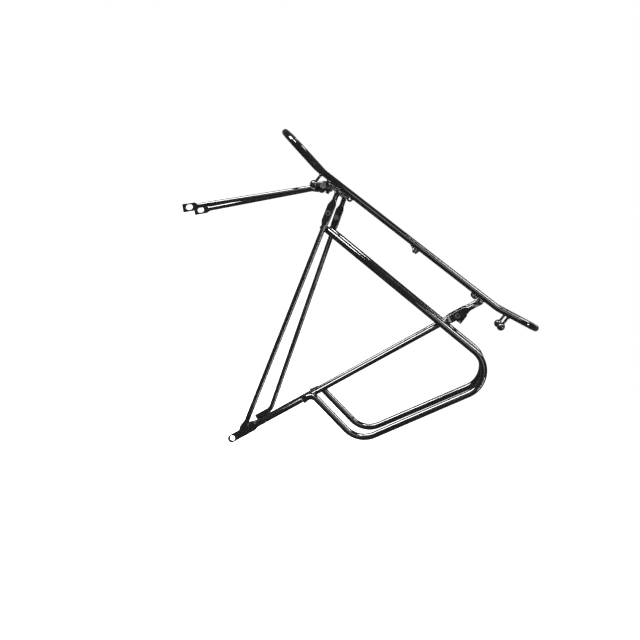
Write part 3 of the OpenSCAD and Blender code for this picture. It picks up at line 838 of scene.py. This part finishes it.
    def front_strut(self, shop: Workshop) -> None:
        """Makes the front strut: a cut foot on the left, a bent tail on the right."""
        lean = self.front_lean()
        up = leaning(lean)
        centre = self.flat_centre("front", lean, -1)
        low = centre - up * (self.boss_flat_l / 2 + self.press_l)
        if self.side is Side.LEFT:
            foot = centre - up * ((centre.z - self.foot_z) / up.z)
            foot.y = -(self.eye_half + self.flat_t + WELD_GAP)
            cut = self.pressed(foot, up)
            foot_end = self.pressed(foot + up * self.foot_l, up)
            start = foot + up * (self.foot_l + self.press_l) - ACROSS * (self.rod_r - self.flat_t / 2)
            along = (low - start).normalized()
            neck = round_at(start, along, self.rod_r)
            stations = [cut, foot_end, *between(foot_end, neck), neck]
        else:
            route = [self.tail_point(self.tail_start), self.tail_point(self.tail_bend), low]
            bent = rounded_route(route, [0, self.tail_bend_r, 0])[:-1]
            stations = [round_at(p, d, self.rod_r) for p, d in bent]
            along = stations[-1].along
        stations += self.top_stations(centre, lean, -1, along)
        name = self.side.word + "_front_strut"
        piece = loft(name + "_bar", self.placed(stations), ACROSS)
        drill(piece, middle_of(self.side.word + "_front_boss"), self.boss_seat_r, self.flat_t)
        shop.hand_over(piece, Slot.PAINT, RACK, name)

    def rail_route(self) -> list[Vector]:
        """Corner points of the left low rail, from the front strut to the top of its tail."""
        def at(x: float, z: float) -> Vector:
            return Vector((x, -self.strut_half(z) - self.rod_r - self.tube_r - 2 * WELD_GAP, z))

        front_x = self.front_x(self.rail_front_z)
        bridge_x = middle_of("front_bridge").x
        rear_z = self.rail_front_z - (self.loop_rear_x - bridge_x) * math.tan(math.radians(self.rail_fall))
        fall = math.tan(math.radians(self.leg_fall))
        steep = 1 / math.tan(math.radians(self.rear_lean))
        bend_x = (self.loop_low_z + self.loop_low_x * fall) / (steep + fall)
        return [at(front_x - self.tube_r, self.rail_front_z), at(self.loop_rear_x, rear_z),
                at(self.loop_low_x, self.loop_low_z), at(bend_x, bend_x * steep)]

    def front_x(self, z: float) -> float:
        """X of the left front strut's centre line at a height."""
        top_x = middle_of("front_bridge").x
        return top_x + (self.foot_x - top_x) * (self.strut_top - z) / (self.strut_top - self.foot_z)

    def low_rail(self, shop: Workshop) -> None:
        """Makes the low rail loop with its squashed tail."""
        route = self.rail_route()
        up = leaning(self.rear_lean)
        down = Vector((-up.x, -self.slope * up.z, -up.z)).normalized()
        leg = (route[3] - route[2]).normalized()
        run = self.tail_r * math.tan(leg.angle(down) / 2)
        end = route[3] + down * (run + 1)
        path = rounded_route([*route, end], [0, self.loop_r, self.loop_r, self.tail_r, 0])
        stations = [round_at(p, d, self.tube_r) for p, d in path]
        flat = route[3] + down * (run + self.tail_press) + ACROSS * (self.tube_r - self.tail_t / 2)
        pressed = flat_at(flat, down, self.flat_w, self.tail_t)
        cut = flat_at(flat + down * (self.tail_l - run - self.tail_press), down, self.flat_w, self.tail_t)
        stations += [*between(stations[-1], pressed), pressed, cut]
        name = self.side.word + "_low_rail"
        piece = loft(name + "_tube", self.placed(stations), ACROSS, 56)
        shop.hand_over(piece, Slot.PAINT, RACK, name)

    def boss(self, shop: Workshop, node: str) -> None:
        """Makes a threaded boss: a turned cup with eased rims and thread ridges."""
        low, high = box_of(node)
        outer, half = (high.x - low.x) / 2, (high.y - low.y) / 2
        bore, rim = self.boss_bore_r, self.boss_rim
        seat = -half + self.boss_floor
        profile = [
            (0.0, -half), (outer - rim, -half), (outer, -half + rim), (outer, half - rim),
            (outer - rim, half), (bore + rim, half), (bore, half - rim), (bore, seat), (0.0, seat)]
        centre = (low + high) / 2
        out = ACROSS * self.side.value
        ring = lathe(node + "_ring", profile, centre, out)
        shop.hand_over(ring, Slot.BOSS, RACK, node)
        path = [centre + out * (seat + rim), centre + out * (half - rim)]
        shop.ridges(node + "_thread", path, self.thread_r, self.thread_ridge, Slot.BOSS)


@dataclass
class Fittings:
    """Strap hooks, ears, lugs and the lamp tab, in millimetres."""

    platform: Platform
    rod_r: float = 2.0
    sunk: float = 1.0
    lip: float = 0.5
    hole_play: float = 0.05

    def build(self, shop: Workshop) -> None:
        """Makes the four hooks and eases the sheet parts' edges."""
        for side in Side:
            for end in ("front", "rear"):
                self.hook(shop, f"{side.word}_{end}_hook")
        for node in ("front_ear", "rear_ears", "mid_lugs", "rear_lamp_tab"):
            shop.softened(node, Slot.PAINT)

    def hook(self, shop: Workshop, name: str) -> None:
        """Makes one hook: a rod out of the rail and a moulded ball on its end."""
        ball = middle_of(name + "_ball")
        low = box_of(name + "_rod")[0]
        top_z = self.platform.under(ball.x) + self.sunk
        path = [Vector((ball.x, ball.y, z)) for z in (low.z, top_z)]
        shop.bar(name + "_stem", path, self.rod_r, 32, name + "_rod")
        ball_low, ball_high = box_of(name + "_ball")
        radius = (ball_high.x - ball_low.x) / 2
        ball.z = ball_low.z + radius
        top = math.acos((self.rod_r + self.lip) / radius)
        steps = 21
        profile = [(0.0, -radius)]
        for i in range(1, steps + 1):
            a = -math.pi / 2 + (top + math.pi / 2) * i / steps
            profile.append((radius * math.cos(a), radius * math.sin(a)))
        rim = profile[-1][1] + self.lip
        hole_r, floor = self.rod_r + self.hole_play, low.z - ball.z
        profile += [(self.rod_r + self.lip, rim), (hole_r, rim), (hole_r, floor), (0.0, floor)]
        shop.hand_over(lathe(name + "_knob", profile, ball, UP), Slot.NYLON, RACK, name + "_ball")


@dataclass
class FrontStays:
    """The two swinging stays with their bracket, bolts, washers and nuts, in millimetres."""

    pivot_half: float = 15.0
    slot_half: float = 51.0
    length: float = 200.0
    drop: float = 47.5
    flat_w: float = 12.5
    flat_t: float = 4.0
    flat_l: float = 18.0
    neck: float = 12.25
    press_l: float = 10.0
    slot_press_l: float = 7.0
    rod_r: float = 3.75
    slot_end: float = 10.0
    slot_l: float = 10.5
    slot_w: float = 8.0
    bolt_r: float = 3.0
    hole_play: float = 0.05
    thread_ridge: float = 0.2
    thread_run: tuple[float, float] = (0.3, 1.9)

    def build(self, shop: Workshop) -> None:
        """Makes both stays and eases the small parts' edges."""
        for side in Side:
            self.stay(shop, side)
            bolt = f"{side.word}_stay_bolt"
            shop.softened(bolt, Slot.ZINC, 0.25)
            tip = max(box_of(bolt), key=lambda corner: -abs(corner.y)).y
            centre = middle_of(bolt)
            path = [Vector((centre.x, tip + side.value * run, centre.z)) for run in self.thread_run]
            shop.ridges(bolt + "_thread", path, self.bolt_r, self.thread_ridge, Slot.ZINC)
        shop.softened("stay_bracket", Slot.PAINT)
        shop.softened("stay_washers", Slot.ZINC, 0.15)
        shop.softened("stay_nuts", Slot.ZINC, 0.25)

    def stay(self, shop: Workshop, side: Side) -> None:
        """Makes one stay: pivot eye, splayed rod and slotted square end."""
        a = math.radians(self.drop)
        out = Vector((-math.cos(a), 0, -math.sin(a)))
        bolt = middle_of(f"{side.word}_stay_bolt")
        pivot = Vector((bolt.x, -self.pivot_half, bolt.z))
        slot = Vector((bolt.x, -self.slot_half, bolt.z)) + out * self.length
        stations = round_end(pivot, out, self.flat_w, self.flat_t, self.flat_w / 2)
        eye, eye_end, flat_start, flat_end = (
            flat_at(at, out, self.flat_w, self.flat_t)
            for at in (pivot, pivot + out * self.neck, slot - out * (self.flat_l - self.slot_end),
                       slot + out * self.slot_end))
        start = pivot + out * (self.neck + self.press_l)
        end = flat_start.at - out * self.slot_press_l
        splay = (end - start).normalized()
        near, far = round_at(start, splay, self.rod_r), round_at(end, splay, self.rod_r)
        stations += [eye, eye_end, *between(eye_end, near), near]
        stations += [far, *between(far, flat_start), flat_start, flat_end]
        name = f"{side.word}_stay"
        piece = loft(name + "_bar", [s.on(side) for s in stations], ACROSS)
        drill(piece, to_side(pivot, side), self.bolt_r + self.hole_play, self.flat_t)
        half_run = out * ((self.slot_l - self.slot_w) / 2)
        drill(piece, to_side(slot, side), self.slot_w / 2, self.flat_t, half_run)
        shop.hand_over(piece, Slot.PAINT, f"{side.word}_front_stay", name)


@dataclass
class Welds:
    """Weld beads at every joint of the frame, in millimetres.

    A pair of sizes is an oval's half length and half width.
    """

    platform: Platform
    frames: Sequence[SideFrame]
    rod_ring: tuple[float, float] = (3.3, 3.3)
    deck_ring: tuple[float, float] = (2.6, 2.6)
    hook_ring: tuple[float, float] = (2.2, 2.2)
    strut_ring: tuple[float, float] = (3.9, 3.6)
    squashed_ring: tuple[float, float] = (6.5, 2.2)
    foot_ring: tuple[float, float] = (5.5, 6.2)
    tail_ring: tuple[float, float] = (9.0, 1.6)
    ear_ring: tuple[float, float] = (4.2, 1.5)
    lug_ring: tuple[float, float] = (5.6, 1.5)
    spacing: float = 1.1
    bead_r: float = 0.95

    def ring(self, centre: Vector, normal: Vector, along: Vector, oval: Sequence[float]) -> list[Vector]:
        """An oval round a joint's contact, square to normal and with its length along a direction."""
        u = (along - normal * along.dot(normal)).normalized() * oval[0]
        v = normal.cross(u.normalized()) * oval[1]
        turns = [math.radians(10 * k) for k in range(36)]
        return [centre + u * math.cos(a) + v * math.sin(a) for a in turns]

    def rings(self) -> list[list[Vector]]:
        """Every bead's path."""
        p, made = self.platform, []
        under = p.height - p.tube_r
        for node in ("front_bridge", "rear_bridge", "stay_cross_rod"):
            x, z = middle_of(node).x, box_of(node)[1].z
            for side in Side:
                rail = Vector((x, side.value * p.half, under))
                deck = Vector((x, middle_of(side.word + "_deck_rod").y, z))
                made.append(self.ring(rail, UP, ACROSS, self.rod_ring))
                made.append(self.ring(deck, UP, ACROSS, self.deck_ring))
        for side in Side:
            deck = side.word + "_deck_rod"
            low, high = box_of(deck)
            y = (low.y + high.y) / 2
            tilt = math.radians(p.upturn)
            for x, way in ((low.x, -1), (high.x, 1)):
                along = Vector((way * math.cos(tilt), 0, math.sin(tilt)))
                corner = p.corners(y, 0)[0 if way < 0 else 3]
                contact = corner - along * (p.tube_r + 0.4) - UP * 1.2
                made.append(self.ring(contact, along, UP, (p.rod_r, p.rod_r)))
            for hook in ("front_hook", "rear_hook"):
                ball = middle_of(f"{side.word}_{hook}_ball")
                place = Vector((ball.x, ball.y, p.under(ball.x)))
                made.append(self.ring(place, UP, REAR, self.hook_ring))
        sheets = (("front_ear", self.ear_ring, (Side.LEFT,)), ("rear_ears", self.ear_ring, Side),
                  ("mid_lugs", self.lug_ring, Side))
        for node, oval, sides in sheets:
            for side in sides:
                place = Vector((middle_of(node).x, side.value * p.half, under - 0.2))
                made.append(self.ring(place, UP, REAR, oval))
        for half in self.frames:
            made += [[to_side(q, half.side) for q in path] for path in self.side_rings(half)]
        return made

    def side_rings(self, half: SideFrame) -> list[list[Vector]]:
        """The bead paths of one side, given on the left."""
        top, made = half.strut_top, []
        for end, way, lean in (("front", -1, half.front_lean()), ("rear", 1, half.rear_lean)):
            centre = half.flat_centre(end, lean, way)
            up = leaning(lean)
            made.append(self.ring(centre + up * ((top - centre.z) / up.z), UP, REAR, self.strut_ring))
        route = half.rail_route()
        at_front = Vector((half.front_x(route[0].z), route[0].y - half.tube_r, route[0].z))
        made.append(self.ring(at_front, ACROSS, REAR, self.rod_ring))
        fall = math.tan(math.radians(half.rail_fall))
        steep = 1 / math.tan(math.radians(half.rear_lean))
        x = (route[0].z + route[0].x * fall) / (steep + fall)
        cross = Vector((x, -half.strut_half(x * steep) - half.rod_r, x * steep))
        made.append(self.ring(cross, ACROSS, REAR, self.rod_ring))
        up = leaning(half.rear_lean)
        tail = route[3] - up * (half.tail_l - 5)
        contact = Vector((tail.x, -half.strut_half(tail.z) - half.rod_r, tail.z))
        made.append(self.ring(contact, ACROSS, up, self.squashed_ring))
        if half.side is Side.LEFT:
            lean = leaning(half.front_lean())
            centre = half.flat_centre("front", half.front_lean(), -1)
            foot = centre - lean * ((centre.z - half.foot_z) / lean.z - half.foot_l / 2)
            foot.y = -(half.eye_half + half.flat_t / 2)
            made.append(self.ring(foot, ACROSS, lean, self.foot_ring))
        else:
            middle = (half.tail_point(half.tail_start) + half.tail_point(half.tail_bend)) / 2
            a = math.radians(half.rear_lean)
            back = Vector((math.cos(a), 0, -math.sin(a)))
            made.append(self.ring(middle + back * half.rod_r, back, up, self.tail_ring))
        return made

    def build(self, shop: Workshop) -> None:
        """Lays all the beads as one piece."""
        sizes = {"Spacing": self.spacing * MM, "Bead": self.bead_r * MM}
        piece = shop.bead.along("weld_beads", self.rings(), True, sizes, shop.paint[Slot.PAINT])
        shop.hand_over(piece, Slot.PAINT, RACK)


# ---- Studio ----


@dataclass
class Studio:
    """Pale floor, soft boxes and the camera, in metres."""

    eye: Vector = field(default_factory=lambda: Vector((0.1018, -2.2491, 0.3900)))
    target: Vector = field(default_factory=lambda: Vector((-0.0083, 0.0, 0.2128)))
    roll: float = 37.88
    lens: float = 83.96
    sensor: float = 36.0

    def build(self) -> None:
        """Makes the floor, the lights and the camera."""
        self.floor()
        self.world()
        self.camera()
        self.soft_box("key", Vector((-1.60, -0.90, 1.30)), (0.6, 1.4), 120)
        self.soft_box("overhead", Vector((0.52, -0.45, 2.25)), (1.5, 0.30), 50)
        self.soft_box("front_top", Vector((-0.95, -1.35, 2.00)), (0.5, 0.35), 40)
        self.soft_box("rear_strip", Vector((2.00, -1.10, 0.55)), (0.20, 1.0), 18)
        self.soft_box("front_fill", Vector((0.30, -2.90, 0.95)), (1.3, 0.9), 12)
        self.soft_box("behind", Vector((0.50, 2.00, 1.60)), (1.4, 0.5), 4)

    def floor(self) -> None:
        """Lays a wide pale floor just under the carrier."""
        build = bmesh.new()
        low = CAD_BOX[0].z - 0.0005
        corners = [(-30, -30), (30, -30), (30, 30), (-30, 30)]
        build.faces.new([build.verts.new((x, y, low)) for x, y in corners])
        mesh = bpy.data.meshes.new("floor")
        build.to_mesh(mesh)
        build.free()
        floor = bpy.data.objects.new("floor", mesh)
        bpy.context.scene.collection.objects.link(floor)
        material = bpy.data.materials.new("matt_white_sweep")
        material.use_nodes = True
        inputs = material.node_tree.nodes["Principled BSDF"].inputs
        inputs["Base Color"].default_value = linear("#f2f2f2")
        inputs["Roughness"].default_value = 1.0
        inputs["Emission Color"].default_value = linear("#ffffff")
        inputs["Emission Strength"].default_value = 1.0
        mesh.materials.append(material)
        floor.visible_glossy = False

    def world(self) -> None:
        """Makes a white surround that lights the carrier only dimly."""
        world = bpy.data.worlds.new("white_surround")
        bpy.context.scene.world = world
        world.use_nodes = True
        tree = world.node_tree
        tree.nodes.clear()
        seen = add_node(tree, "ShaderNodeBackground", {"Color": linear("#ffffff"), "Strength": 1.0})
        lit = add_node(tree, "ShaderNodeBackground", {"Color": linear("#ffffff"), "Strength": 0.12})
        ray = add_node(tree, "ShaderNodeLightPath")
        mixed = add_node(tree, "ShaderNodeMixShader", {
            0: ray.outputs["Is Camera Ray"], 1: lit.outputs[0], 2: seen.outputs[0]})
        add_node(tree, "ShaderNodeOutputWorld", {"Surface": mixed.outputs[0]})

    def soft_box(self, name: str, place: Vector, size: tuple[float, float], watts: float) -> None:
        """Hangs a rectangular soft light that faces the carrier."""
        data = bpy.data.lights.new(name, "AREA")
        data.shape = "RECTANGLE"
        data.size, data.size_y = size
        data.energy = watts
        light = bpy.data.objects.new(name, data)
        light.location = place
        light.rotation_mode = "QUATERNION"
        light.rotation_quaternion = (self.target - place).to_track_quat("-Z", "Y")
        bpy.context.scene.collection.objects.link(light)

    def camera(self) -> None:
        """Sets the camera, rolled so that the platform slopes down to the right."""
        data = bpy.data.cameras.new("camera")
        data.lens, data.sensor_width = self.lens, self.sensor
        camera = bpy.data.objects.new("camera", data)
        camera.location = self.eye
        camera.rotation_mode = "QUATERNION"
        aim = (self.target - self.eye).to_track_quat("-Z", "Y")
        camera.rotation_quaternion = aim @ Quaternion((0, 0, 1), math.radians(self.roll))
        bpy.context.scene.collection.objects.link(camera)
        bpy.context.scene.camera = camera
        bpy.context.scene.view_settings.view_transform = "Standard"


def main() -> None:
    """Builds the carrier's sub-assemblies in order, then the studio."""
    logging.basicConfig(level=logging.INFO, format="%(message)s")
    Studio().build()
    shop = Workshop()
    platform = Platform()
    platform.build(shop)
    frames = [SideFrame(side) for side in Side]
    for half in frames:
        half.build(shop)
    Fittings(platform).build(shop)
    FrontStays().build(shop)
    Welds(platform, frames).build(shop)


if __name__ == "__main__":
    main()
